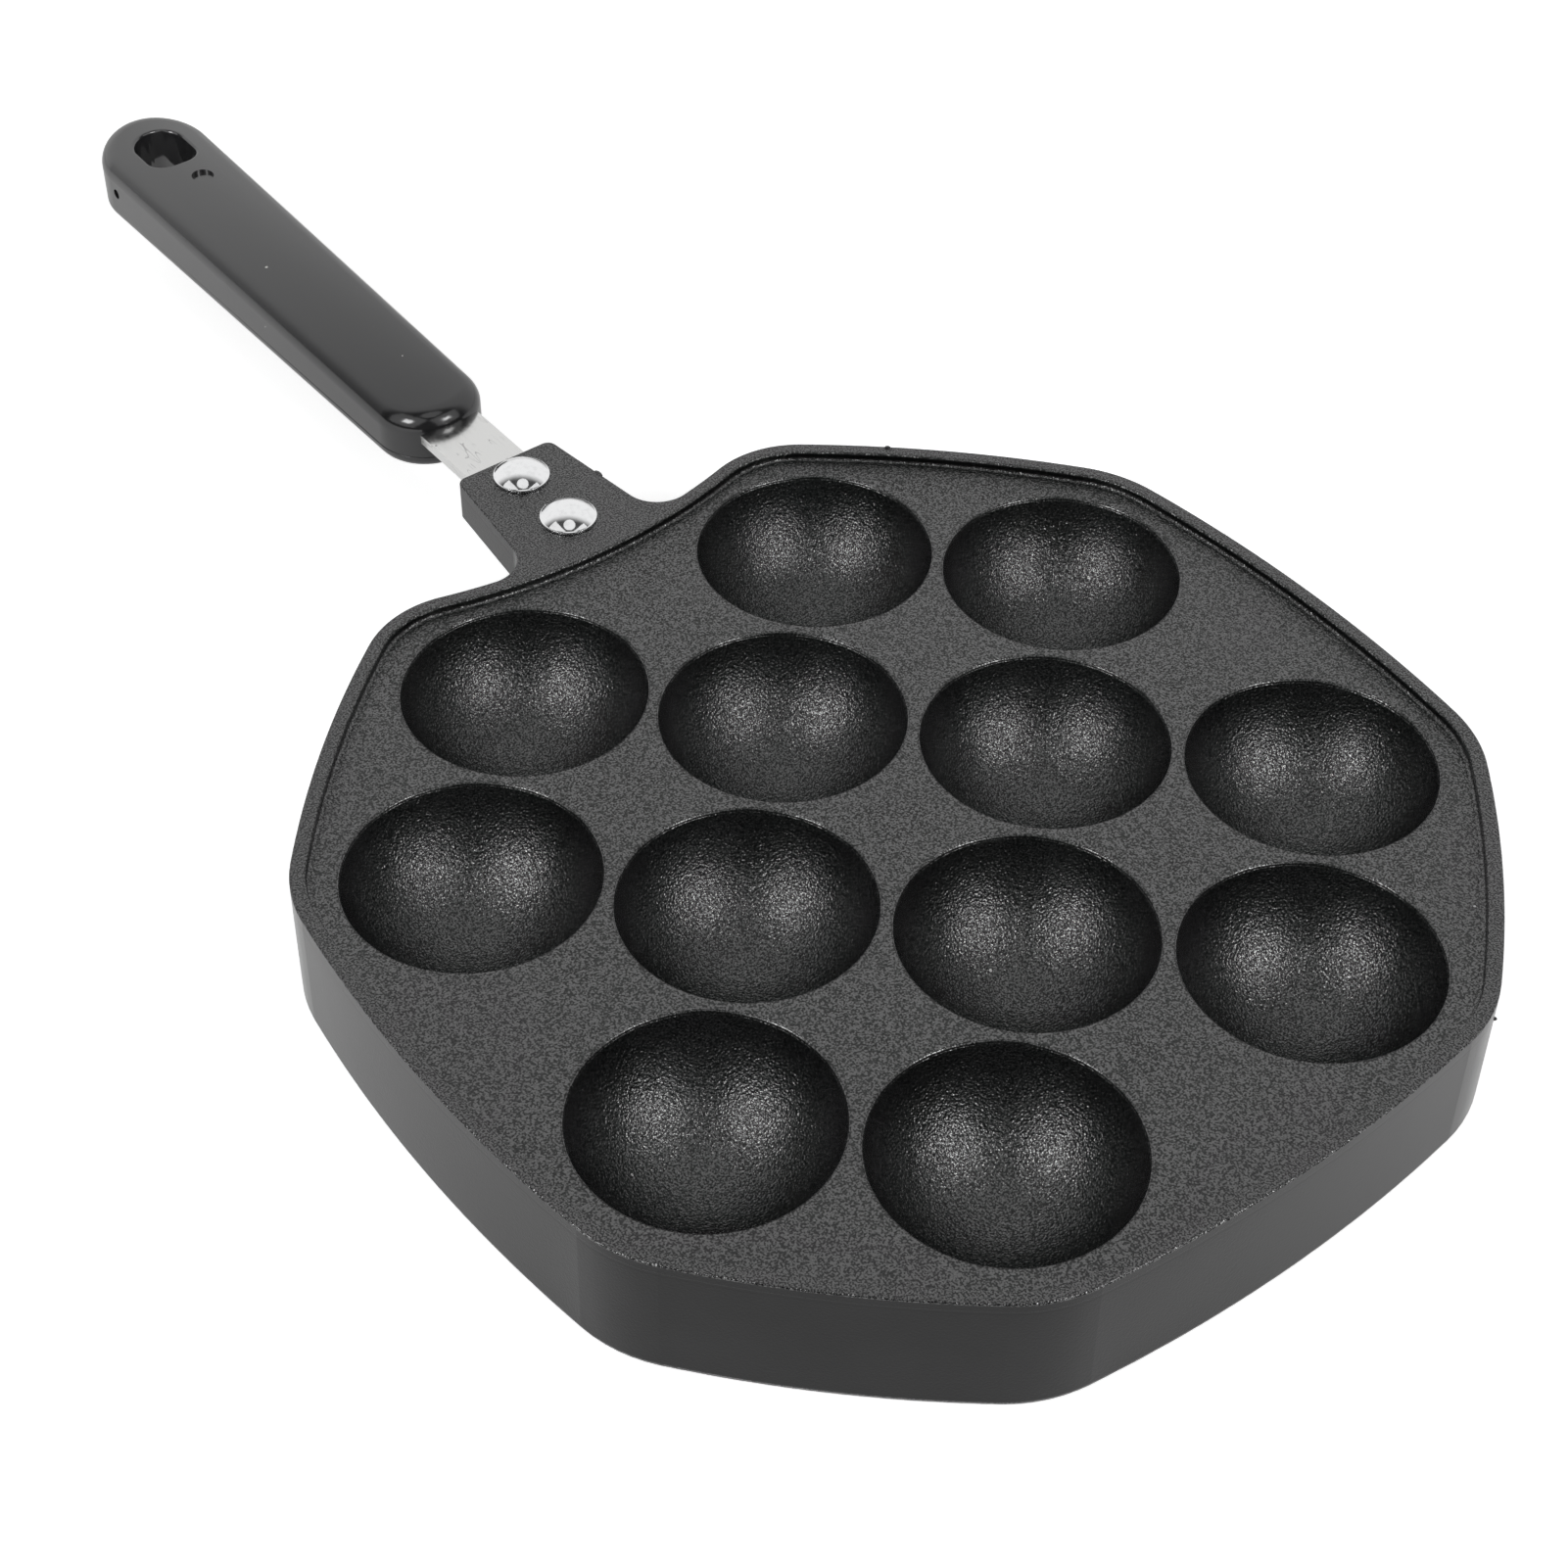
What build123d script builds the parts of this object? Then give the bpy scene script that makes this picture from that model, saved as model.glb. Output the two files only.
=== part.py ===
from build123d import *
from math import asin, atan, cos, degrees, pi, radians, sin, tan
import os

# Takoyaki pan: one aluminium casting with twelve cups, a steel strap riveted under its bracket,
# and a phenolic grip moulded round the strap. Units are millimetres.
# The origin is the middle of the pan on the plane that it stands on. The handle points along +X.

# Cups
cup_pitch = 47.0
cup_mouth_diameter = 44.6
cup_depth = 20.0
cup_wall = 2.6
cup_lip_radius = 0.5
cups_across = 4

# Pan body
pan_height = 26.0
rim_rise = 1.8
rim_width = 2.8
plate_thickness = 3.0
wall_thickness = 4.0
wall_flare = 0.3
hollow_draft = 1.2
base_edge_radius = 1.5
rim_edge_radius = 0.4
rim_foot_radius = 0.6
rim_inner_radius = 0.5

# Outline of the rim's top: eight sides, seven bowed out and the one at the handle bowed in
row_side_distance = 102.4
row_side_bow = 233.0
corner_side_distance = 98.3
corner_side_bow = 286.0
handle_side_distance = 91.2
handle_side_bow = 120.0
corner_radius = 27.0
handle_corner_radius = 20.0

# Bracket, an inverted channel cast on the handle's side
bracket_length = 31.8
bracket_end_width = 21.8
bracket_flare = 6.7
bracket_depth = 8.0
bracket_top_thickness = 3.0
bracket_root_radius = 7.0
bracket_end_radius = 2.0

# Strap
strap_width = 13.5
strap_thickness = 2.0
strap_side_clearance = 0.5
strap_root_clearance = 1.5
strap_corner_radius = 2.0
strap_length = 140.0
anchor_hole_diameter = 6.0
anchor_hole_spacing = 24.0
anchor_end_distance = 14.0

# Rivets
rivet_head_diameter = 11.0
rivet_head_height = 2.7
rivet_head_edge = 0.5
rivet_shank_diameter = 5.0
rivet_hole_clearance = 0.1
rivet_tail_diameter = 8.0
rivet_tail_height = 1.8
rivet_spacing = 16.0
rivet_end_distance = 6.4

# Grip
grip_gap = 17.5
grip_length = 133.0
grip_front_width = 22.2
grip_rear_width = 24.8
grip_front_height = 12.8
grip_rear_height = 15.9
grip_crown = 2.0
grip_below_strap = 6.5
grip_top_radius = 4.2
grip_base_radius = 2.6

# Hanging hole and moulding marks in the grip
hanging_hole_length = 14.4
hanging_hole_width = 11.2
hanging_hole_end_wall = 9.1
hanging_hole_front_radius = 4.6
hanging_hole_rear_radius = 5.2
hanging_hole_lip_radius = 0.6
dimple_diameter = 4.8
dimple_depth = 0.8
dimple_gap = 4.9
dimple_offset = 1.4
pin_hole_diameter = 2.2
pin_hole_depth = 3.0
pin_hole_end_distance = 14.9

# Heights and places that follow from the sizes above
field_height = pan_height - rim_rise
cup_mouth_radius = cup_mouth_diameter / 2
cup_radius = (cup_mouth_radius**2 + cup_depth**2) / (2 * cup_depth)
cup_centre_height = field_height - cup_depth + cup_radius
plate_underside = field_height - plate_thickness
hollow_top_inset = wall_thickness - wall_flare + plate_underside * tan(radians(hollow_draft))
bracket_reach = handle_side_distance + bracket_length
bracket_underside = pan_height - bracket_depth
strap_top = pan_height - bracket_top_thickness
strap_underside = strap_top - strap_thickness
strap_start = handle_side_distance + strap_root_clearance
rivet_outer_x = bracket_reach - rivet_end_distance
rivet_inner_x = rivet_outer_x - rivet_spacing
grip_front = bracket_reach + grip_gap
grip_end = grip_front + grip_length
grip_base = strap_underside - grip_below_strap
grip_rise = atan((grip_rear_height - grip_front_height) / grip_length)
strap_middle = strap_underside + strap_thickness / 2
hanging_hole_end = grip_end - hanging_hole_end_wall
hanging_hole_start = hanging_hole_end - hanging_hole_length
wide = 4 * row_side_distance
upwards = (Align.CENTER, Align.CENTER, Align.MIN)


def cup_centres():
    """Centres on a square grid turned by 45 degrees, with its four corners left out."""
    half = (cups_across - 1) / 2
    steps = [i - half for i in range(cups_across)]
    places = []
    for i in steps:
        for j in steps:
            if abs(i) + abs(j) < 2 * half:
                x = (i - j) * cos(pi / 4) * cup_pitch
                y = (i + j) * sin(pi / 4) * cup_pitch
                places.append((x, y))
    return places


def outline(inset):
    """The pan's outline moved in by inset: one disc for each side bowed out, rounded where they meet."""
    shape = Circle(wide)
    for k in range(1, 8):
        distance, bow = row_side_distance, row_side_bow
        if k % 2 == 0:
            distance, bow = corner_side_distance, corner_side_bow
        reach = distance - bow
        angle = k * pi / 4
        shape &= Pos(reach * cos(angle), reach * sin(angle)) * Circle(bow - inset)
    bow_centre = handle_side_distance + handle_side_bow
    shape -= Pos(bow_centre, 0) * Circle(handle_side_bow + inset)
    shape = fillet(shape.vertices().sort_by(Axis.X)[-2:], handle_corner_radius - inset)
    return fillet(shape.vertices().sort_by(Axis.X)[:6], corner_radius - inset)


def flared(bottom_inset, top_inset, height):
    """Solid between the outline at z = 0 and the outline at the height, each with its own inset."""
    bottom = outline(bottom_inset).face()
    top = Pos(0, 0, height) * outline(top_inset).face()
    return loft([bottom, top], ruled=True)


def pan_casting():
    """Skirted pan with cups, a raised rim and the channel bracket that holds the strap."""
    body = flared(-wall_flare, 0, pan_height)
    body += bracket_block()
    body = fillet(body.edges().filter_by(is_bracket_root), bracket_root_radius)
    base_edges = body.faces().sort_by(Axis.Z)[0].outer_wire().edges()
    body = fillet(base_edges, base_edge_radius)
    rim_edges = body.faces().sort_by(Axis.Z)[-1].outer_wire().edges()
    body = fillet(rim_edges, rim_edge_radius)

    tray = Pos(0, 0, field_height) * extrude(outline(rim_width), amount=wide)
    tray = fillet(tray.faces().sort_by(Axis.Z)[0].edges(), rim_foot_radius)
    body -= tray
    rim_top = body.faces().sort_by(Axis.Z)[-1]
    body = fillet(rim_top.inner_wires()[0].edges(), rim_inner_radius)

    hollow = flared(wall_thickness - wall_flare, hollow_top_inset, plate_underside)
    ball = Sphere(cup_radius + cup_wall)
    for x, y in cup_centres():
        hollow -= Pos(x, y, cup_centre_height) * ball
    body -= hollow

    for x, y in cup_centres():
        body -= Pos(x, y, cup_centre_height) * Sphere(cup_radius)
    lips = body.edges().filter_by(GeomType.CIRCLE).filter_by(is_cup_mouth)
    body = fillet(lips, cup_lip_radius)

    channel_width = strap_width + 2 * strap_side_clearance
    channel_height = strap_top - bracket_underside
    channel = Box(
        wide, channel_width, channel_height, align=(Align.MIN, Align.CENTER, Align.MIN)
    )
    body -= Pos(handle_side_distance, 0, bracket_underside) * channel
    hole = Cylinder(rivet_shank_diameter / 2 + rivet_hole_clearance, wide)
    for x in (rivet_inner_x, rivet_outer_x):
        body -= Pos(x, 0, 0) * hole
    return body


def bracket_block():
    """The bracket before its channel is cut, flaring towards the pan and starting inside its wall."""
    start = handle_side_distance - wall_thickness / 2
    half_end = bracket_end_width / 2
    half_start = half_end + (bracket_reach - start) * tan(radians(bracket_flare))
    corners = [
        (start, -half_start),
        (bracket_reach, -half_end),
        (bracket_reach, half_end),
        (start, half_start),
    ]
    plan = make_face(Polyline(*corners, close=True))
    plan = fillet(plan.vertices().sort_by(Axis.X)[-2:], bracket_end_radius)
    return Pos(0, 0, bracket_underside) * extrude(plan, amount=bracket_depth)


def is_bracket_root(edge):
    """True for the two upright edges where the bracket's sides meet the pan's wall."""
    box = edge.bounding_box()
    upright = abs(box.size.Z - bracket_depth) < 0.01
    return upright and box.max.X < bracket_reach - 2 * bracket_end_radius


def is_cup_mouth(edge):
    """True for the rings where the cups meet the field."""
    on_field = abs(edge.center().Z - field_height) < 0.01
    return on_field and abs(edge.radius - cup_mouth_radius) < 0.01


def handle_strap():
    """Flat bar with two rivet holes at the pan's end and two holes that lock it into the grip."""
    end = strap_start + strap_length
    middle = (strap_start + end) / 2
    plan = Pos(middle, 0) * RectangleRounded(strap_length, strap_width, strap_corner_radius)
    for x in (rivet_inner_x, rivet_outer_x):
        plan -= Pos(x, 0) * Circle(rivet_shank_diameter / 2 + rivet_hole_clearance)
    for i in range(2):
        x = end - anchor_end_distance - i * anchor_hole_spacing
        plan -= Pos(x, 0) * Circle(anchor_hole_diameter / 2)
    return Pos(0, 0, strap_underside) * extrude(plan, amount=strap_thickness)


def rivet(x):
    """Domed head on the bracket, a shank through bracket and strap, and a tail upset under the strap."""
    head_radius = rivet_head_diameter / 2
    shank_radius = rivet_shank_diameter / 2
    tail_radius = rivet_tail_diameter / 2
    grip = bracket_top_thickness + strap_thickness
    head_dome = rivet_head_height - rivet_head_edge
    tail_dome = rivet_tail_height / 2
    dome_radius = (head_radius**2 + head_dome**2) / (2 * head_dome)
    tail_dome_radius = (tail_radius**2 + tail_dome**2) / (2 * tail_dome)
    dome_centre = rivet_head_height - dome_radius
    tail_centre = tail_dome_radius - grip - rivet_tail_height

    shank = Pos(0, 0, -grip) * Cylinder(shank_radius, grip, align=upwards)
    head_band = Cylinder(head_radius, rivet_head_height, align=upwards)
    head = head_band & (Pos(0, 0, dome_centre) * Sphere(dome_radius))
    tail_band = Pos(0, 0, -grip - rivet_tail_height) * Cylinder(
        tail_radius, rivet_tail_height, align=upwards
    )
    tail = tail_band & (Pos(0, 0, tail_centre) * Sphere(tail_dome_radius))
    return Pos(x, 0, pan_height) * (head + shank + tail)


def handle_grip():
    """Tapered bar with a crowned top, round ends and a hanging hole, moulded round the strap."""
    body = Pos(0, 0, grip_base) * extrude(grip_plan(), amount=2 * grip_rear_height)
    body &= grip_crown_cylinder()
    crowned = body.faces().filter_by(GeomType.CYLINDER).sort_by(Axis.Z)[-1]
    body = fillet(crowned.edges(), grip_top_radius)
    body = fillet(body.faces().sort_by(Axis.Z)[0].edges(), grip_base_radius)

    body -= extrude(hanging_hole(), amount=wide)
    body = fillet(body.edges().filter_by(is_hole_lip), hanging_hole_lip_radius)

    dimple_x = hanging_hole_start - dimple_gap - dimple_diameter / 2
    dimple = Cylinder(dimple_diameter / 2, grip_crown + dimple_depth, align=upwards)
    body -= Pos(dimple_x, -dimple_offset, grip_top(dimple_x) - dimple_depth) * dimple

    pin_y = grip_rear_width / 2 - pin_hole_depth
    pin = Rot(-90, 0, 0) * Cylinder(pin_hole_diameter / 2, grip_rear_width, align=upwards)
    body -= Pos(grip_end - pin_hole_end_distance, pin_y, strap_middle) * pin
    return body - handle_strap()


def grip_plan():
    """Two round ends of different width joined by straight sides that touch both."""
    front_radius = grip_front_width / 2
    rear_radius = grip_rear_width / 2
    front_x = grip_front + front_radius
    rear_x = grip_end - rear_radius
    lean = asin((rear_radius - front_radius) / (rear_x - front_x))
    front = (front_x - front_radius * sin(lean), front_radius * cos(lean))
    rear = (rear_x - rear_radius * sin(lean), rear_radius * cos(lean))
    sides = [
        Line(front, rear),
        ThreePointArc(rear, (grip_end, 0), (rear[0], -rear[1])),
        Line((rear[0], -rear[1]), (front[0], -front[1])),
        ThreePointArc((front[0], -front[1]), (grip_front, 0), front),
    ]
    return make_face(sides)


def grip_top(x):
    """Height of the grip's highest line, which rises towards its free end."""
    return grip_base + grip_front_height + (x - grip_front) * tan(grip_rise)


def grip_crown_cylinder():
    """Large cylinder along the grip whose upper side is the grip's crowned top."""
    half_width = grip_rear_width / 2
    radius = (half_width**2 + grip_crown**2) / (2 * grip_crown)
    middle = (grip_front + grip_end) / 2
    lying = Rot(0, 90, 0) * Cylinder(radius, 2 * grip_length)
    return Pos(middle, 0, grip_top(middle)) * Rot(0, -degrees(grip_rise), 0) * Pos(0, 0, -radius) * lying


def hanging_hole():
    """Hole with rounded corners towards the pan and rounder ones towards the free end."""
    middle = hanging_hole_start + hanging_hole_length / 2
    shape = Pos(middle, 0) * Rectangle(hanging_hole_length, hanging_hole_width)
    shape = fillet(shape.vertices().sort_by(Axis.X)[-2:], hanging_hole_rear_radius)
    return fillet(shape.vertices().sort_by(Axis.X)[:2], hanging_hole_front_radius)


def is_hole_lip(edge):
    """True for the edges round the hanging hole's two mouths."""
    box = edge.bounding_box()
    along = hanging_hole_start - 0.01 < box.min.X and box.max.X < hanging_hole_end + 0.01
    across = max(abs(box.min.Y), abs(box.max.Y)) < hanging_hole_width / 2 + 0.01
    return along and across and box.size.Z < grip_crown


os.makedirs("parts", exist_ok=True)
pieces = {
    "pan_casting": pan_casting(),
    "handle_strap": handle_strap(),
    "inner_rivet": rivet(rivet_inner_x),
    "outer_rivet": rivet(rivet_outer_x),
    "handle_grip": handle_grip(),
}
for name, piece in pieces.items():
    export_step(piece, f"parts/{name}.step")
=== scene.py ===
import math

import bpy
import numpy as np
from mathutils import Matrix, Vector


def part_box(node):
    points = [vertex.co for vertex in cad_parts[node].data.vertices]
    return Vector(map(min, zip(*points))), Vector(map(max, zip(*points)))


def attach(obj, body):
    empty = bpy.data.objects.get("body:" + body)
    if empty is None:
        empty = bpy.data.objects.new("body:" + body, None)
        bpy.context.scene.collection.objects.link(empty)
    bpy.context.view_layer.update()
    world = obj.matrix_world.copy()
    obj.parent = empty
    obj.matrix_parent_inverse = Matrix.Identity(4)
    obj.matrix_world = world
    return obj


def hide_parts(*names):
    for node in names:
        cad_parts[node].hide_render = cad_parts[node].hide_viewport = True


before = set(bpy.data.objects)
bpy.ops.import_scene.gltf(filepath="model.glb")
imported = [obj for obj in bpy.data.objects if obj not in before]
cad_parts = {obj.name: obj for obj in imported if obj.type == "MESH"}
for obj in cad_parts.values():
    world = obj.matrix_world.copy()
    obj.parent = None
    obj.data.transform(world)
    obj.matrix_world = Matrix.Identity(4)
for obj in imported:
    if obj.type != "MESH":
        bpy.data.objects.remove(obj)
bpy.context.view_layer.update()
print("frame loaded:", ", ".join(sorted(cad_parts)))


# Camera at the photograph's angle: it aims at a point on the field, a little off the pan's middle.
cameraView = {
    "target": (0.01886, 0.01088, 0.0242),
    "azimuth": 231.742,    # degrees; 0 looks along +Y
    "elevation": 43.904,
    "distance": 0.50963,
    "roll": 0.852,
    "lens": 67.04,
    "sensor": 36.0,
    "clip": (0.01, 50),
}


def directionFrom(azimuth, elevation):
    # (sin a cos e, -cos a cos e, sin e): unit vector from the object towards that azimuth and elevation
    a, e = math.radians(azimuth), math.radians(elevation)
    return Vector((math.sin(a) * math.cos(e), -math.cos(a) * math.cos(e), math.sin(e)))


def lookingBack(target, back, distance):
    # stands at target + distance * back and looks along -back, with its top towards +Z
    turn = (-back).to_track_quat("-Z", "Y").to_matrix().to_4x4()
    return Matrix.Translation(Vector(target) + back * distance) @ turn


def addObject(name, data):
    # a new object of that camera, lamp or mesh, linked to the scene
    thing = bpy.data.objects.new(name, data)
    bpy.context.scene.collection.objects.link(thing)
    return thing


def makeCamera(v):
    # at target + distance towards azimuth and elevation, looking at the target and then rolled
    data = bpy.data.cameras.new("camera")
    data.lens = v["lens"]
    data.sensor_width = v["sensor"]
    data.clip_start, data.clip_end = v["clip"]
    camera = addObject("camera", data)
    roll = Matrix.Rotation(math.radians(v["roll"]), 4, "Z")
    back = directionFrom(v["azimuth"], v["elevation"])
    camera.matrix_world = lookingBack(v["target"], back, v["distance"]) @ roll
    bpy.context.scene.camera = camera


makeCamera(cameraView)
print("camera set")


# Node helpers

def nodeTree(owner):
    # the emptied node tree of a material or of the world
    owner.use_nodes = True
    owner.node_tree.nodes.clear()
    return owner.node_tree


def feed(tree, value, socket):
    # a socket is linked and a number or a colour is set
    if isinstance(value, bpy.types.NodeSocket):
        tree.links.new(value, socket)
    else:
        socket.default_value = value


def calc(tree, operation, a, b=0.0, c=0.0):
    # operation(a, b, c) of the Math node
    node = tree.nodes.new("ShaderNodeMath")
    node.operation = operation
    for value, socket in zip((a, b, c), node.inputs):
        feed(tree, value, socket)
    return node.outputs[0]


def spread(tree, value, fromLow, fromHigh, toLow=0.0, toHigh=1.0, smooth=True):
    # toLow + (toHigh - toLow) t, where t is the clamped share of the way from fromLow to fromHigh that value
    # has gone, with soft ends where smooth
    node = tree.nodes.new("ShaderNodeMapRange")
    node.interpolation_type = "SMOOTHSTEP" if smooth else "LINEAR"
    given = {"Value": value, "From Min": fromLow, "From Max": fromHigh, "To Min": toLow, "To Max": toHigh}
    for label, part in given.items():
        feed(tree, part, node.inputs[label])
    return node.outputs["Result"]


def noise(tree, vector, scale, detail=2.0, roughness=0.5):
    # soft noise between 0 and 1, about scale bumps a metre; detail adds finer layers, weighed by roughness
    node = tree.nodes.new("ShaderNodeTexNoise")
    feed(tree, vector, node.inputs["Vector"])
    feed(tree, scale, node.inputs["Scale"])
    node.inputs["Detail"].default_value = detail
    node.inputs["Roughness"].default_value = roughness
    return node.outputs["Fac"]


def stretched(tree, vector, scale, turn=(0, 0, 0)):
    # vector multiplied by scale along each axis and then turned by turn, in degrees
    node = tree.nodes.new("ShaderNodeMapping")
    feed(tree, vector, node.inputs["Vector"])
    node.inputs["Rotation"].default_value = [math.radians(a) for a in turn]
    node.inputs["Scale"].default_value = scale
    return node.outputs["Vector"]


def alongAxes(tree, vector):
    # the vector's parts, named X, Y and Z
    node = tree.nodes.new("ShaderNodeSeparateXYZ")
    feed(tree, vector, node.inputs[0])
    return node.outputs


def blendColour(tree, share, a, b):
    # (1 - share) a + share b
    node = tree.nodes.new("ShaderNodeMix")
    node.data_type = "RGBA"
    feed(tree, share, node.inputs["Factor"])
    feed(tree, a, node.inputs[6])
    feed(tree, b, node.inputs[7])
    return node.outputs[2]


def bump(tree, height, distance):
    # the normal of a surface raised by height * distance
    node = tree.nodes.new("ShaderNodeBump")
    node.inputs["Strength"].default_value = 1.0
    node.inputs["Distance"].default_value = distance
    feed(tree, height, node.inputs["Height"])
    return node.outputs["Normal"]


def startGroup(name, inputs, outputs):
    # an empty node group with named sockets, each input with its plain value
    group = bpy.data.node_groups.new(name, "ShaderNodeTree")
    for label, value in inputs.items():
        kind = "NodeSocketVector" if label == "Vector" else "NodeSocketFloat"
        socket = group.interface.new_socket(label, in_out="INPUT", socket_type=kind)
        if label != "Vector":
            socket.default_value = value
    for label in outputs:
        group.interface.new_socket(label, in_out="OUTPUT", socket_type="NodeSocketFloat")
    return group, group.nodes.new("NodeGroupInput").outputs, group.nodes.new("NodeGroupOutput").inputs


def placeGroup(tree, group, vector, values):
    # the group's outputs, worked out at vector with those values
    node = tree.nodes.new("ShaderNodeGroup")
    node.node_tree = group
    feed(tree, vector, node.inputs["Vector"])
    for label, value in values.items():
        feed(tree, value, node.inputs[label])
    return node.outputs


def startMaterial(name):
    # a material whose Principled shader goes straight to its output, with its tree, the shader's inputs and
    # the Object coordinates
    material = bpy.data.materials.new(name)
    tree = nodeTree(material)
    shader = tree.nodes.new("ShaderNodeBsdfPrincipled")
    feed(tree, shader.outputs[0], tree.nodes.new("ShaderNodeOutputMaterial").inputs["Surface"])
    return material, tree, shader.inputs, tree.nodes.new("ShaderNodeTexCoord").outputs["Object"]


# Node groups for the surfaces
sprayPattern = {
    "mattFineness": 1.3,     # how much finer the matt places' noise is than the grain
    "mattEdge": 0.13,        # half of that noise's way from shining to matt
}
scratchPattern = {
    "runs": ((12, (30, 420, 300)), (-24, (45, 520, 300)), (64, (50, 380, 300))),   # turn in degrees and scale
    "patchScale": 260.0,
    "sheenScale": (40, 2600, 2600),
}
noiseSpan = (0.3, 0.7)       # most values of a noise lie between these


def makeSprayGrain(v):
    # Height: noise of Grain bumps a metre. Matt: rises from 0 to 1 where a noise that is finer than that by
    # mattFineness passes 1 - Matt Share, within mattEdge on either side. Cloud: slow noise of Cloud Size
    # patches a metre.
    inputs = {"Vector": 0, "Grain": 2200.0, "Matt Share": 0.35, "Cloud Size": 45.0}
    group, given, result = startGroup("sprayGrain", inputs, ("Height", "Matt", "Cloud"))
    height = noise(group, given["Vector"], given["Grain"], detail=1.0, roughness=0.6)
    feed(group, height, result["Height"])
    fineScale = calc(group, "MULTIPLY", given["Grain"], v["mattFineness"])
    fine = noise(group, given["Vector"], fineScale, detail=0.0)
    middle = calc(group, "SUBTRACT", 1.0, given["Matt Share"])
    low = calc(group, "SUBTRACT", middle, v["mattEdge"])
    high = calc(group, "ADD", middle, v["mattEdge"])
    feed(group, spread(group, fine, low, high), result["Matt"])
    cloud = noise(group, given["Vector"], given["Cloud Size"], detail=3.0, roughness=0.6)
    feed(group, cloud, result["Cloud"])
    return group


def makeDustSpecks():
    # Speck: 1 within 0.5 to 1.5 times Radius of a cell's random point, in the share Share of the cells.
    # Spacing is the number of cells a metre, and Radius a share of a cell.
    inputs = {"Vector": 0, "Spacing": 180.0, "Radius": 0.05, "Share": 0.15}
    group, given, result = startGroup("dustSpecks", inputs, ("Speck",))
    cells = group.nodes.new("ShaderNodeTexVoronoi")
    feed(group, given["Vector"], cells.inputs["Vector"])
    feed(group, given["Spacing"], cells.inputs["Scale"])
    drawn = group.nodes.new("ShaderNodeSeparateColor")    # two even draws for each cell
    feed(group, cells.outputs["Color"], drawn.inputs[0])
    chosen = calc(group, "LESS_THAN", drawn.outputs[0], given["Share"])
    size = calc(group, "MULTIPLY", given["Radius"], calc(group, "ADD", drawn.outputs[1], 0.5))
    near = calc(group, "LESS_THAN", cells.outputs["Distance"], size)
    feed(group, calc(group, "MULTIPLY", chosen, near), result["Speck"])
    return group


def makeFineScratches(v):
    # Line: 1 where a stretched noise lies within Width of 0.5, so along its level line, and only where a slow
    # noise is above 1 - Share. Sheen: noise stretched along X, for the direction of rolling or brushing.
    inputs = {"Vector": 0, "Width": 0.004, "Share": 0.5}
    group, given, result = startGroup("fineScratches", inputs, ("Line", "Sheen"))
    lines = 0.0
    for turn, scale in v["runs"]:
        level = noise(group, stretched(group, given["Vector"], scale, (0, 0, turn)), 1.0, detail=0.0)
        away = calc(group, "ABSOLUTE", calc(group, "SUBTRACT", level, 0.5))
        lines = calc(group, "MAXIMUM", lines, calc(group, "LESS_THAN", away, given["Width"]))
    patch = noise(group, given["Vector"], v["patchScale"], detail=1.0)
    where = calc(group, "GREATER_THAN", patch, calc(group, "SUBTRACT", 1.0, given["Share"]))
    feed(group, calc(group, "MULTIPLY", lines, where), result["Line"])
    rolled = stretched(group, given["Vector"], v["sheenScale"])
    feed(group, noise(group, rolled, 1.0, detail=3.0, roughness=0.6), result["Sheen"])
    return group


sprayGrain = makeSprayGrain(sprayPattern)
dustSpecks = makeDustSpecks()
fineScratches = makeFineScratches(scratchPattern)
print("node groups made")


# Studio: pale floor, pale surroundings that glossy rays see dark on the camera's side, two big soft boxes
# that are brighter in the middle, and a round lamp overhead.
studio = {
    "floorSize": 6.0,
    "floorColour": (0.93, 0.93, 0.93, 1),
    "floorLift": (0.60, 0.85),   # added for camera rays, near and far off, so that the floor reads white
    "liftSpan": (0.5, 2.0),      # metres from the object where near ends and where far off begins
    "floorGloss": 0.20,          # added for glossy rays
    "surroundSeen": 1.0,         # strength of the surroundings for camera rays; their colour is a pale grey
    "surroundGloss": 1.10,       # for glossy rays beyond the object
    "surroundDark": 0.08,        # for glossy rays on the camera's side
    "surroundLight": 0.31,       # for diffuse surfaces
    "darkEdge": (-0.38, 0.06),   # the ray's part towards the camera's azimuth at which it turns dark
}
lamps = {
    # degrees aside of the camera's azimuth, elevation, metres from the origin, size in metres, watts and shape
    "leftSoftBox": (-54, 38.5, 0.85, (0.95, 0.85), 1.9, "RECTANGLE"),
    "rightSoftBox": (54, 38.5, 0.85, (0.95, 0.85), 1.9, "RECTANGLE"),
    "leftCoreSoftBox": (-54, 38.5, 0.84, (0.24, 0.24), 1.75, "RECTANGLE"),
    "rightCoreSoftBox": (54, 38.5, 0.84, (0.24, 0.24), 1.65, "RECTANGLE"),
    "roundLamp": (0, 82, 1.1, (0.6, 0.6), 0.7, "DISK"),
}


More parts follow.
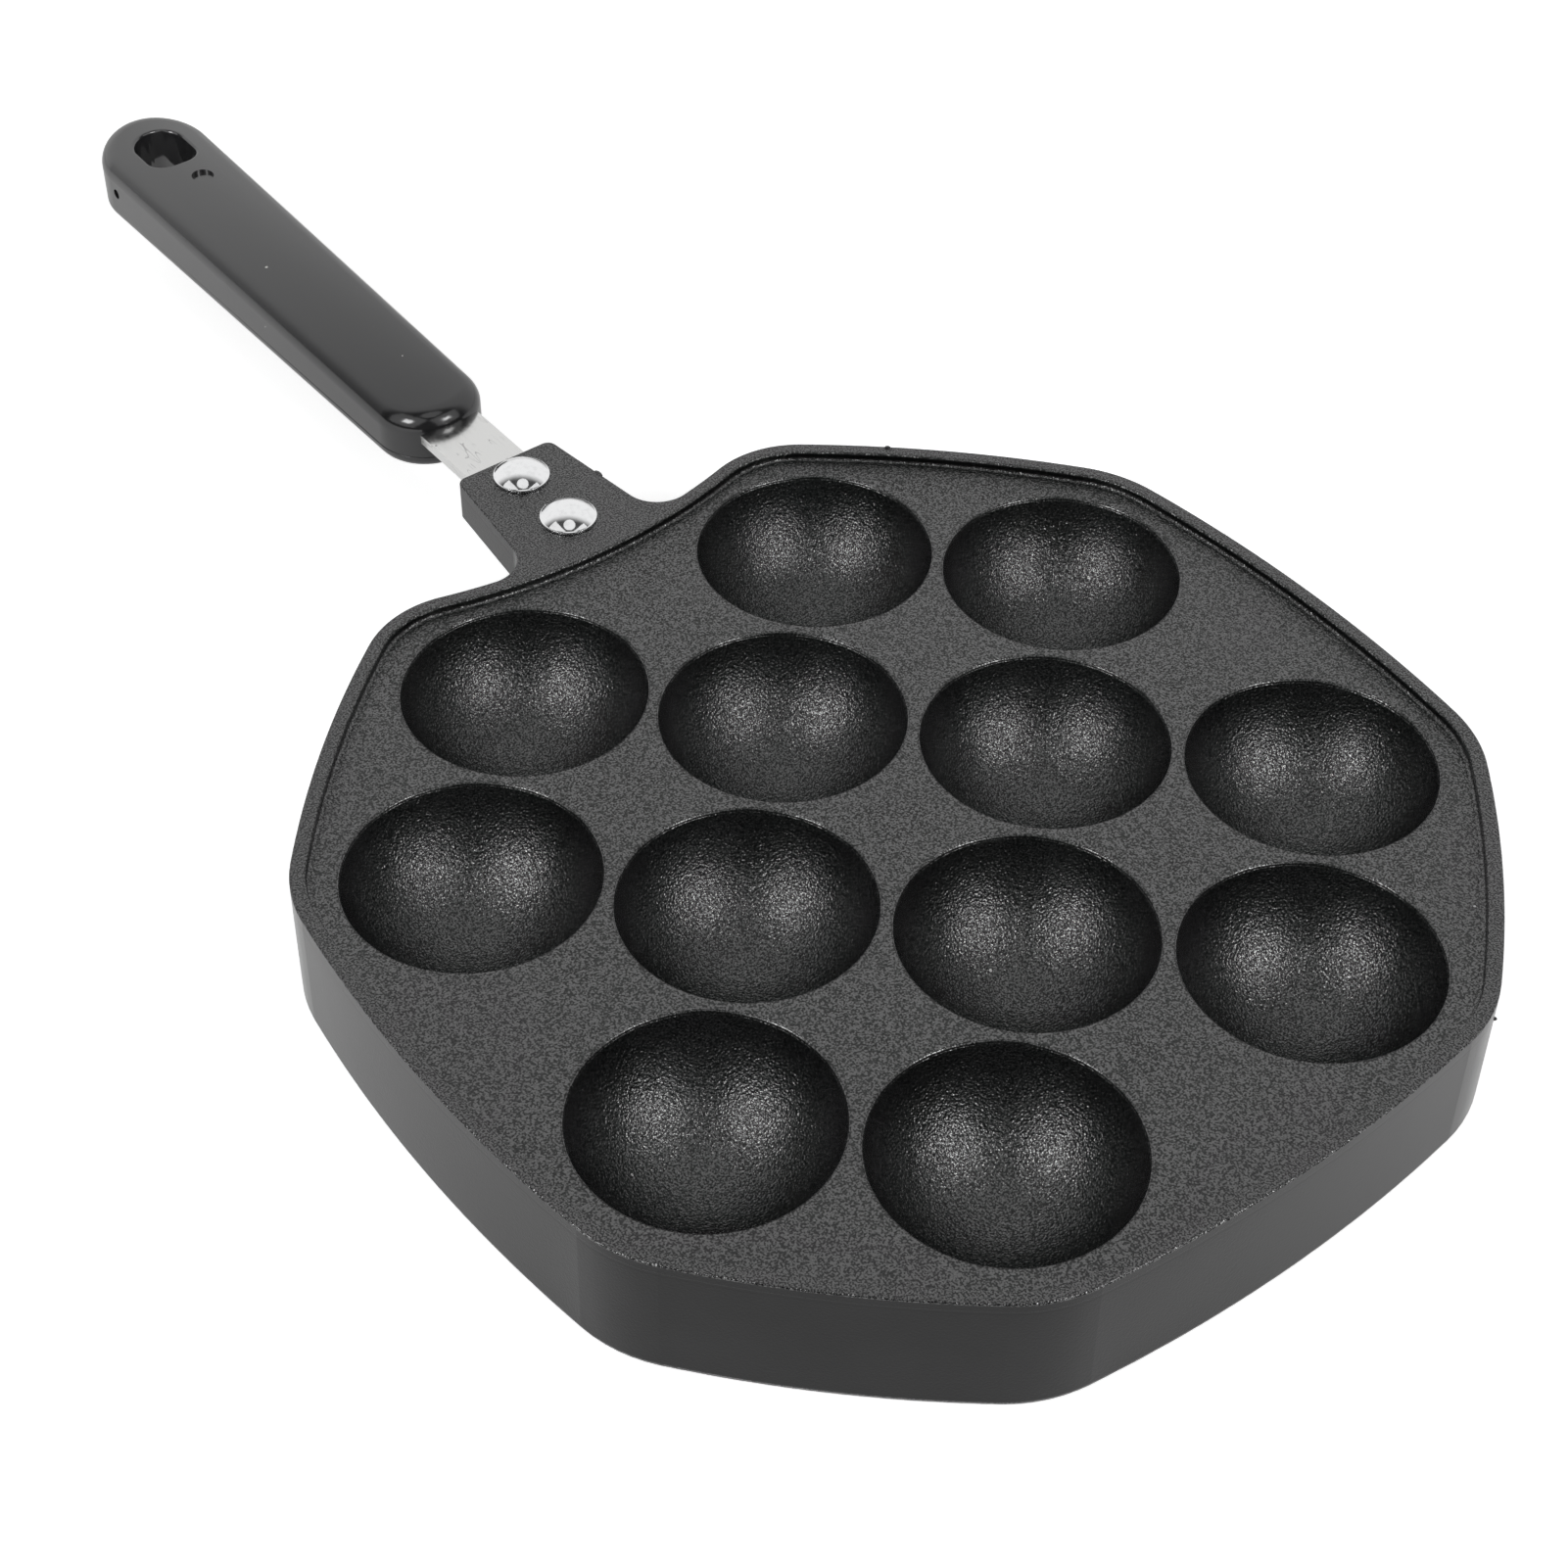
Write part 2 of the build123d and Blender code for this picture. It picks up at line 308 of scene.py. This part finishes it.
def makeFloor(v):
    # a flat square at height 0. Its paint gets a glow of lift for camera rays and floorGloss for glossy rays.
    half = v["floorSize"] / 2
    corners = [(-half, -half, 0), (half, -half, 0), (half, half, 0), (-half, half, 0)]
    mesh = bpy.data.meshes.new("floor")
    mesh.from_pydata(corners, [], [(0, 1, 2, 3)])
    floor = addObject("floor", mesh)
    material = bpy.data.materials.new("paleFloor")
    tree = nodeTree(material)
    new = tree.nodes.new
    out = new("ShaderNodeOutputMaterial")
    paint = new("ShaderNodeBsdfDiffuse")
    glow = new("ShaderNodeEmission")
    rays = new("ShaderNodeLightPath")
    both = new("ShaderNodeAddShader")
    away = new("ShaderNodeVectorMath")
    away.operation = "LENGTH"
    feed(tree, new("ShaderNodeTexCoord").outputs["Object"], away.inputs[0])
    lift = spread(tree, away.outputs["Value"], *v["liftSpan"], *v["floorLift"])
    seen = calc(tree, "MULTIPLY", rays.outputs["Is Camera Ray"], lift)
    light = calc(tree, "MULTIPLY_ADD", rays.outputs["Is Glossy Ray"], v["floorGloss"], seen)
    feed(tree, v["floorColour"], paint.inputs["Color"])
    feed(tree, light, glow.inputs["Strength"])
    feed(tree, paint.outputs[0], both.inputs[0])
    feed(tree, glow.outputs[0], both.inputs[1])
    feed(tree, both.outputs[0], out.inputs["Surface"])
    mesh.materials.append(material)


def makeSurroundings(v, darkFrom):
    # Camera and transmission rays get surroundSeen. Glossy rays get surroundGloss, turning to surroundDark
    # while the ray's part towards the azimuth darkFrom goes through darkEdge. All others get surroundLight.
    world = bpy.data.worlds.new("studioWorld")
    bpy.context.scene.world = world
    tree = nodeTree(world)
    new = tree.nodes.new
    out = new("ShaderNodeOutputWorld")
    background = new("ShaderNodeBackground")
    rays = new("ShaderNodeLightPath")
    side = new("ShaderNodeVectorMath")
    side.operation = "DOT_PRODUCT"
    feed(tree, new("ShaderNodeTexCoord").outputs["Generated"], side.inputs[0])
    side.inputs[1].default_value = directionFrom(darkFrom, 0)
    gloss = spread(tree, side.outputs["Value"], *v["darkEdge"], v["surroundGloss"], v["surroundDark"])
    glossy = rays.outputs["Is Glossy Ray"]
    seen = calc(tree, "MAXIMUM", rays.outputs["Is Camera Ray"], rays.outputs["Is Transmission Ray"])
    plain = calc(tree, "MULTIPLY", seen, v["surroundSeen"])
    level = calc(tree, "MAXIMUM", plain, calc(tree, "MULTIPLY", glossy, gloss))
    other = calc(tree, "SUBTRACT", 1.0, calc(tree, "MAXIMUM", seen, glossy))
    feed(tree, calc(tree, "MULTIPLY_ADD", other, v["surroundLight"], level), background.inputs["Strength"])
    feed(tree, background.outputs[0], out.inputs["Surface"])


def makeLamp(name, azimuth, aside, elevation, distance, size, watts, shape):
    # a flat lamp at distance from the origin, towards azimuth + aside and elevation, shining at the origin
    data = bpy.data.lights.new(name, "AREA")
    data.shape = shape
    data.size, data.size_y = size
    data.energy = watts
    back = directionFrom(azimuth + aside, elevation)
    addObject(name, data).matrix_world = lookingBack((0, 0, 0), back, distance)


makeFloor(studio)
makeSurroundings(studio, cameraView["azimuth"])
for name, values in lamps.items():
    makeLamp(name, cameraView["azimuth"], *values)
bpy.context.scene.view_settings.view_transform = "Standard"
print("studio set")


# Coated casting: a black non-stick coat with a fine sprayed grain, part of it shining; the skirt is smoother.
coat = {
    "colour": (0.003, 0.003, 0.0033, 1),
    "paleColour": (0.006, 0.006, 0.0065, 1),
    "paleSpan": (0.35, 0.65),        # of the slow noise, from colour to paleColour
    "specks": {"Spacing": 120.0, "Radius": 0.03, "Share": 0.08},
    "speckColour": (0.5, 0.5, 0.5, 1),
    "speckTone": 0.7,                # share of speckColour in a speck
    "grain": 2400.0,                 # bumps a metre
    "grainDepth": 0.00019,           # metres
    "mattShare": 0.50,
    "topSpan": (0.02, 0.14),         # of the normal's upward part, from upright faces to the top
    "skirtDepth": 0.12,              # share of the grain's depth left on upright faces
    "roughness": (0.15, 0.20),
    "index": 1.66,
    "gloss": 1.0,                    # the shader's Specular IOR Level
    "grainDull": 0.68,               # share of the gloss lost in the grain's matt places
    "skirtDull": 0.79,               # share of it lost on upright faces
    "lipSpan": (0.0235, 0.0237),     # the cups' rounded lips begin between these heights
    "fieldSpan": (0.02416, 0.02419),    # and end between these, just under the field
    "lipCalm": 0.75,                 # share of the grain's depth taken off the lips
}


def makeCoatMaterial(v):
    # The colour is near black, so Metallic takes away its own share of the gloss: grainDull on top where
    # Matt is 1, and skirtDull on upright faces. The bump is Height, weaker on upright faces and on the lips.
    material, tree, skin, place = startMaterial("coatedCasting")
    grain = placeGroup(tree, sprayGrain, place, {"Grain": v["grain"], "Matt Share": v["mattShare"]})
    specks = placeGroup(tree, dustSpecks, place, v["specks"])
    normal = tree.nodes.new("ShaderNodeNewGeometry").outputs["Normal"]
    upward = calc(tree, "ABSOLUTE", alongAxes(tree, normal)["Z"])
    depthShare = spread(tree, upward, *v["topSpan"], v["skirtDepth"], 1.0)

    tone = spread(tree, grain["Cloud"], *v["paleSpan"])
    colour = blendColour(tree, tone, v["colour"], v["paleColour"])
    dust = calc(tree, "MULTIPLY", specks["Speck"], v["speckTone"])
    feed(tree, blendColour(tree, dust, colour, v["speckColour"]), skin["Base Color"])
    skin["IOR"].default_value = v["index"]
    skin["Specular IOR Level"].default_value = v["gloss"]

    onTop = spread(tree, depthShare, v["skirtDepth"], 1.0)
    onSkirt = calc(tree, "MULTIPLY", calc(tree, "SUBTRACT", 1.0, onTop), v["skirtDull"])
    onGrain = calc(tree, "MULTIPLY", calc(tree, "MULTIPLY", grain["Matt"], onTop), v["grainDull"])
    feed(tree, calc(tree, "ADD", onGrain, onSkirt), skin["Metallic"])
    feed(tree, spread(tree, grain["Cloud"], *noiseSpan, *v["roughness"]), skin["Roughness"])

    z = alongAxes(tree, place)["Z"]
    lip = calc(tree, "SUBTRACT", spread(tree, z, *v["lipSpan"]), spread(tree, z, *v["fieldSpan"]))
    calm = calc(tree, "SUBTRACT", 1.0, calc(tree, "MULTIPLY", lip, v["lipCalm"]))
    height = calc(tree, "MULTIPLY", grain["Height"], calc(tree, "MULTIPLY", depthShare, calm))
    feed(tree, bump(tree, height, v["grainDepth"]), skin["Normal"])
    return material


# Strap: rolled stainless steel with a soft sheen along its length, light scratches and a few specks.
strapSteel = {
    "colour": (0.75, 0.75, 0.74, 1),
    "marks": {"Width": 0.004, "Share": 0.48},
    "markTone": 0.45,
    "specks": {"Spacing": 420.0, "Radius": 0.10, "Share": 0.10},
    "speckTone": 0.7,
    "markColour": (0.22, 0.22, 0.22, 1),
    "roughness": (0.16, 0.24),
    "sheenDepth": 0.0000015,
    "edge": 0.00022,             # rounding of its edges, metres
    "edgeSteps": 3,
    "edgeAngle": 40,             # degrees; a sharper edge is rounded
    "weldWithin": 0.000002,      # metres
}


def makeStrapMaterial(v):
    # the steel's colour goes towards markColour by the greater of markTone on lines and speckTone on specks
    material, tree, skin, place = startMaterial("strapSteel")
    marks = placeGroup(tree, fineScratches, place, v["marks"])
    specks = placeGroup(tree, dustSpecks, place, v["specks"])
    lines = calc(tree, "MULTIPLY", marks["Line"], v["markTone"])
    tone = calc(tree, "MAXIMUM", lines, calc(tree, "MULTIPLY", specks["Speck"], v["speckTone"]))
    feed(tree, blendColour(tree, tone, v["colour"], v["markColour"]), skin["Base Color"])
    skin["Metallic"].default_value = 1.0
    feed(tree, spread(tree, marks["Sheen"], *noiseSpan, *v["roughness"]), skin["Roughness"])
    feed(tree, bump(tree, marks["Sheen"], v["sheenDepth"]), skin["Normal"])
    return material


# Grip: black moulded phenolic with a satin shine, painted shade towards its front, faint marks, a few pale
# specks and a glossy hanging hole.
gripBlack = {
    "colour": (0.020, 0.020, 0.021, 1),
    "specks": {"Spacing": 210.0, "Radius": 0.045, "Share": 0.10},
    "speckColour": (0.55, 0.55, 0.52, 1),
    "marks": {"Width": 0.003, "Share": 0.42},
    "markRoughness": 0.08,         # added on the marks' lines
    "roughness": (0.12, 0.20),
    "patchScale": 110.0,           # patches of roughness a metre
    "index": 1.6,
    "gloss": 1.0,                  # the shader's Specular IOR Level
    "shadeAndDull": (0.48, 0.0),           # painted shade: share of the gloss taken away at the front and at the free end, so the top darkens towards the pan
    "shadeAndDullSpan": (0.150, 0.262),    # along X, from the full painted shade to none
    "holeRoughness": 0.07,
    "holeSpan": (0.2497, 0.2647),  # along X
    "holeHalfWidth": 0.0059,
    "waveScale": (60, 120, 120),
    "waveDepth": 0.00006,
    "skinGrain": 2600.0,           # bumps a metre
    "skinDepth": 0.000004,
}


def makeGripMaterial(v):
    # Metallic goes evenly along X from a painted shade at the front to none at the free end, taking gloss away
    # so that the front of the top darkens. Roughness is that of patches and marks, and holeRoughness in the
    # hole. The bump is waveDepth of slow noise and skinDepth of fine.
    material, tree, skin, place = startMaterial("gripBlack")
    specks = placeGroup(tree, dustSpecks, place, v["specks"])
    marks = placeGroup(tree, fineScratches, place, v["marks"])
    at = alongAxes(tree, place)
    feed(tree, blendColour(tree, specks["Speck"], v["colour"], v["speckColour"]), skin["Base Color"])
    skin["IOR"].default_value = v["index"]
    skin["Specular IOR Level"].default_value = v["gloss"]
    # painted shade: less gloss towards the front, so the grip's top reads darker there
    feed(tree, spread(tree, at["X"], *v["shadeAndDullSpan"], *v["shadeAndDull"], smooth=False), skin["Metallic"])

    low, high = v["holeSpan"]
    past, short = calc(tree, "GREATER_THAN", at["X"], low), calc(tree, "LESS_THAN", at["X"], high)
    within = calc(tree, "LESS_THAN", calc(tree, "ABSOLUTE", at["Y"]), v["holeHalfWidth"])
    inHole = calc(tree, "MULTIPLY", calc(tree, "MULTIPLY", past, short), within)
    patch = noise(tree, place, v["patchScale"], detail=3.0, roughness=0.6)
    patches = spread(tree, patch, *noiseSpan, *v["roughness"])
    marked = calc(tree, "MULTIPLY_ADD", marks["Line"], v["markRoughness"], patches)
    outside = calc(tree, "MULTIPLY", marked, calc(tree, "SUBTRACT", 1.0, inHole))
    feed(tree, calc(tree, "MULTIPLY_ADD", inHole, v["holeRoughness"], outside), skin["Roughness"])

    wave = noise(tree, stretched(tree, place, v["waveScale"]), 1.0, detail=1.0)
    fine = noise(tree, place, v["skinGrain"], detail=1.0)
    height = calc(tree, "MULTIPLY_ADD", fine, v["skinDepth"] / v["waveDepth"], wave)
    feed(tree, bump(tree, height, v["waveDepth"]), skin["Normal"])
    return material


# Rivets: polished domes with a narrow upright edge, a shank and a tail upset under the strap.
rivetShape = {
    "headRadius": 0.0055,
    "headEdge": 0.0005,
    "headRound": 0.0001,
    "seatChamfer": 0.0001,
    "shankRadius": 0.0025,
    "tailRadius": 0.0040,
    "tailHeight": 0.0018,
    "domeSteps": 30,
    "rimSteps": 8,
    "tailSteps": 16,
    "around": 128,
}
rivetMetal = {
    "colour": (0.93, 0.935, 0.94, 1),
    "dullColour": (0.66, 0.66, 0.67, 1),
    "dullScale": 900.0,          # patches a metre
    "shadeAndDullSpan": (0.45, 0.75),    # of its noise, from colour towards dullColour
    "dullTone": 0.35,            # share of dullColour where it is dullest
    "marks": {"Width": 0.004, "Share": 0.5},
    "roughness": (0.05, 0.10),
    "dentScale": 700.0,          # dents a metre
    "dentDepth": 0.000012,
}


def arcPoints(centre, radius, start, end, count):
    # (centre + radius cos t, centre + radius sin t) for t from start to end
    t = np.linspace(start, end, count)
    return np.stack([centre[0] + radius * np.cos(t), centre[1] + radius * np.sin(t)], -1)


def gridQuads(rows, around, closed):
    # corners (i, j), (i + 1, j), (i + 1, j + 1), (i, j + 1) of a grid numbered i around + j, which closes
    # along j, and along i too where closed
    i, j = np.meshgrid(np.arange(rows if closed else rows - 1), np.arange(around), indexing="ij")
    here, there, k = i * around, (i + 1) % rows * around, (j + 1) % around
    return np.stack([here + j, there + j, there + k, here + k], -1).reshape(-1, 4)


def revolved(profile, around):
    # (r cos a, r sin a, z) for each profile point (r, z) and angle a; the two ends lie on the axis and close
    # as poles
    rings = profile[1:-1]
    a = np.linspace(0, 2 * np.pi, around, endpoint=False)
    x, y = rings[:, :1] * np.cos(a), rings[:, :1] * np.sin(a)
    body = np.stack([x, y, np.repeat(rings[:, 1:], around, 1)], -1).reshape(-1, 3)
    points = np.vstack([body, (0, 0, profile[0, 1]), (0, 0, profile[-1, 1])])
    j = np.arange(around)
    k = (j + 1) % around
    lastRing = (len(rings) - 1) * around
    first = np.stack([np.full(around, len(body)), j, k], -1)
    last = np.stack([np.full(around, len(body) + 1), lastRing + k, lastRing + j], -1)
    return points, first.tolist() + gridQuads(len(rings), around, False).tolist() + last.tolist()


def addPiece(name, points, faces, material):
    # a smooth-shaded piece that rides on the part's one body
    mesh = bpy.data.meshes.new(name)
    mesh.from_pydata(points.tolist(), [], faces)
    mesh.polygons.foreach_set("use_smooth", [True] * len(mesh.polygons))
    mesh.update()
    mesh.materials.append(material)
    piece = addObject(name, mesh)
    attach(piece, "root")
    return piece


def domeRadius(halfWidth, rise):
    # (w squared + h squared) / 2h: radius of the ball whose cap is 2w wide and h high
    return (halfWidth**2 + rise**2) / (2 * rise)


def rivetProfile(v, headHeight, depth):
    # from the dome's top outwards: dome arc, rounded rim, upright edge, flat seat, shank, tail dome
    head, rim, tail, chamfer = v["headRadius"], v["headRound"], v["tailRadius"], v["seatChamfer"]
    radius = domeRadius(head, headHeight - v["headEdge"])
    lean = math.asin((head - rim) / radius)
    dome = arcPoints((0, headHeight - radius), radius, math.pi / 2, math.pi / 2 - lean, v["domeSteps"])
    rimCentre = (head - rim, dome[-1, 1] - rim * math.cos(lean))
    rounded = arcPoints(rimCentre, rim, math.pi / 2 - lean, 0, v["rimSteps"])[1:]
    seatZ = -depth + v["tailHeight"]
    tailBall = domeRadius(tail, v["tailHeight"] / 2)
    tailLean = math.asin(tail / tailBall)
    bottom = -math.pi / 2
    below = arcPoints((0, -depth + tailBall), tailBall, bottom + tailLean, bottom, v["tailSteps"])
    seat = [(head, chamfer), (head - chamfer, 0)]
    shank = [(v["shankRadius"], 0), (v["shankRadius"], seatZ), (tail, seatZ)]
    return np.vstack([dome, rounded, seat, shank, below])


def makeRivetMaterial(v):
    # the metal's colour goes towards dullColour by dullTone where a slow noise is high
    material, tree, skin, place = startMaterial("polishedRivet")
    marks = placeGroup(tree, fineScratches, place, v["marks"])
    shadeAndDull = spread(tree, noise(tree, place, v["dullScale"]), *v["shadeAndDullSpan"])
    tone = calc(tree, "MULTIPLY", shadeAndDull, v["dullTone"])
    feed(tree, blendColour(tree, tone, v["colour"], v["dullColour"]), skin["Base Color"])
    skin["Metallic"].default_value = 1.0
    feed(tree, spread(tree, marks["Sheen"], *noiseSpan, *v["roughness"]), skin["Roughness"])
    dents = noise(tree, place, v["dentScale"], detail=1.0)
    feed(tree, bump(tree, dents, v["dentDepth"]), skin["Normal"])
    return material


def makeRivet(name, node, v, material):
    # the profile turned about the node's own upright axis, with its seat at the height of the casting's top
    low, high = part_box(node)
    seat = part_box("pan_casting")[1].z
    centre = ((low.x + high.x) / 2, (low.y + high.y) / 2, seat)
    points, faces = revolved(rivetProfile(v, high.z - seat, seat - low.z), v["around"])
    piece = addPiece(name, points + centre, faces, material)
    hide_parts(node)


# Casting nicks: small lumps of flash left on the far rim, the bracket's right edge and the skirt's right
# corner.
castingNicks = {
    "near": [(0.0809, -0.0628, 0.0258), (0.1085, -0.0126, 0.0258), (-0.0925, -0.0515, 0.0200)],
    "size": [(0.0006, 0.0004, 0.00035), (0.0011, 0.0005, 0.00045), (0.0004, 0.0003, 0.0005)],
    "around": 20,
}


def makeNicks(v):
    # each lump is a ball scaled to its size and turned so that its Z lies along the casting's normal at its
    # seat, the casting's point that is closest to near
    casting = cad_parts["pan_casting"]
    half = arcPoints((0, 0), 1.0, math.pi / 2, -math.pi / 2, v["around"] // 2)
    half[[0, -1], 0] = 0
    ball, ballFaces = revolved(half, v["around"])
    lumps, faces = [], []
    for near, size in zip(v["near"], v["size"]):
        _, seat, normal, _ = casting.closest_point_on_mesh(Vector(near))
        turn = np.array(normal.to_track_quat("Z", "Y").to_matrix())
        faces += [[corner + len(ball) * len(lumps) for corner in face] for face in ballFaces]
        lumps.append((ball * size) @ turn.T + np.array(seat))
    material = casting.material_slots[0].material
    addPiece("castingNicks", np.vstack(lumps), faces, material)


# Parting ridge: the mould's seam, a thin line round the grip just above its rounded lower edge. It sinks into
# the grip towards the free end.
partingRidge = {
    "height": 0.0174,
    "frontCentre": 0.1516, "frontRadius": 0.0111,
    "rearCentre": 0.2611, "rearRadius": 0.01228,
    "thickness": 0.00012,
    "along": 90,
    "around": 10,
}


def makePartingRidge(v):
    # path: two arcs joined by straight lines; the ring of radius thickness at each path point is
    # path + thickness (cos t outward + sin t up)
    lean = math.asin((v["rearRadius"] - v["frontRadius"]) / (v["rearCentre"] - v["frontCentre"]))
    turn = math.pi / 2 + lean
    rear = np.linspace(-turn, turn, v["along"])
    front = np.linspace(turn, 2 * math.pi - turn, v["along"])
    angle = np.concatenate([rear, front])[:, None]
    radius = np.repeat([v["rearRadius"], v["frontRadius"]], v["along"])[:, None]
    middle = np.repeat([v["rearCentre"], v["frontCentre"]], v["along"])[:, None]
    t = np.linspace(0, 2 * np.pi, v["around"], endpoint=False)
    reach = radius + v["thickness"] * np.cos(t)
    z = np.broadcast_to(v["height"] + v["thickness"] * np.sin(t), reach.shape)
    points = np.stack([middle + reach * np.cos(angle), reach * np.sin(angle), z], -1).reshape(-1, 3)
    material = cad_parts["handle_grip"].material_slots[0].material
    addPiece("partingRidge", points, gridQuads(*reach.shape, True).tolist(), material)


def dress(node, material):
    # the material in each of the node's slots
    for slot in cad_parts[node].material_slots:
        slot.material = material


def roundEdges(node, v):
    # joins the node's loose triangles, rounds its sharp edges by edge and smooths the shading
    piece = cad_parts[node]
    piece.modifiers.new("weld", "WELD").merge_threshold = v["weldWithin"]
    bevel = piece.modifiers.new("roundEdges", "BEVEL")
    bevel.width = v["edge"]
    bevel.segments = v["edgeSteps"]
    bevel.limit_method = "ANGLE"
    bevel.angle_limit = math.radians(v["edgeAngle"])
    piece.modifiers.new("evenNormals", "WEIGHTED_NORMAL").keep_sharp = True


dress("pan_casting", makeCoatMaterial(coat))
dress("handle_strap", makeStrapMaterial(strapSteel))
dress("handle_grip", makeGripMaterial(gripBlack))
roundEdges("handle_strap", strapSteel)
print("nodes dressed")

rivetMaterial = makeRivetMaterial(rivetMetal)
makeRivet("innerRivetBody", "inner_rivet", rivetShape, rivetMaterial)
makeRivet("outerRivetBody", "outer_rivet", rivetShape, rivetMaterial)
makeNicks(castingNicks)
makePartingRidge(partingRidge)
print("rivets, nicks and parting ridge made")
